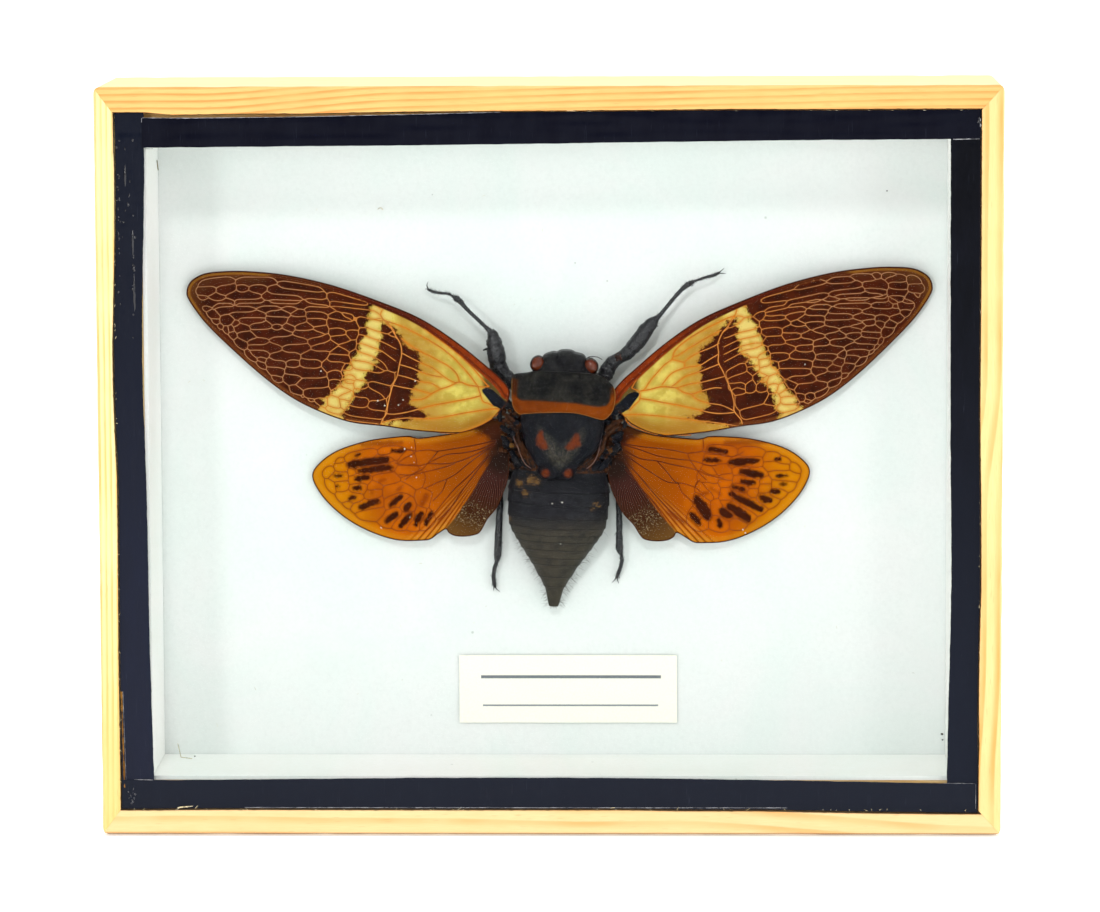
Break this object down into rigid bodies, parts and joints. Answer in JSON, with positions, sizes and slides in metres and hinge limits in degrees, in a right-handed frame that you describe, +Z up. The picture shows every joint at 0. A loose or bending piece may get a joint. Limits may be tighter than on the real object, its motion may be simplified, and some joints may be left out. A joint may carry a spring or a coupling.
{
  "type": "framed cicada specimen",
  "caption": "Shallow glazed pine box with black taped glass and a white card lining, holding a spread brown-winged cicada above a small label card.",
  "frame": {"origin": "middle of the box's footprint, on the surface it stands on", "axes": "+X along the width, to the right seen from the front; -Y out of the glass; +Z up"},
  "size_m": [0.1524, 0.0318, 0.127],
  "materials": {
    "pine": "planed pine with a clear satin coat",
    "glass": "clear float glass",
    "black_tape": "glossy black adhesive tape",
    "white_card": "matt white card",
    "hardboard": "brown hardboard",
    "label_card": "cream paper",
    "black_cuticle": "dry black insect cuticle",
    "forewing_membrane": "dry veined wing membrane",
    "hindwing_membrane": "dry veined wing membrane",
    "leg_cuticle": "dry black insect cuticle"
  },
  "bodies": {
    "root": {"rail_top": "pine", "rail_bottom": "pine", "rail_left": "pine", "rail_right": "pine", "glass": "glass", "tape_top": "black_tape", "tape_bottom": "black_tape", "tape_left": "black_tape", "tape_right": "black_tape", "liner_top": "white_card", "liner_bottom": "white_card", "liner_left": "white_card", "liner_right": "white_card", "backing_card": "white_card", "back_board": "hardboard", "label": "label_card", "cicada_body": "black_cuticle", "forewing_left": "forewing_membrane", "forewing_right": "forewing_membrane", "hindwing_left": "hindwing_membrane", "hindwing_right": "hindwing_membrane", "foreleg_left": "leg_cuticle", "foreleg_right": "leg_cuticle", "midleg_left": "leg_cuticle", "midleg_right": "leg_cuticle", "hindleg_left": "leg_cuticle", "hindleg_right": "leg_cuticle", "antenna_right": "leg_cuticle"}
  },
  "joints": []
}
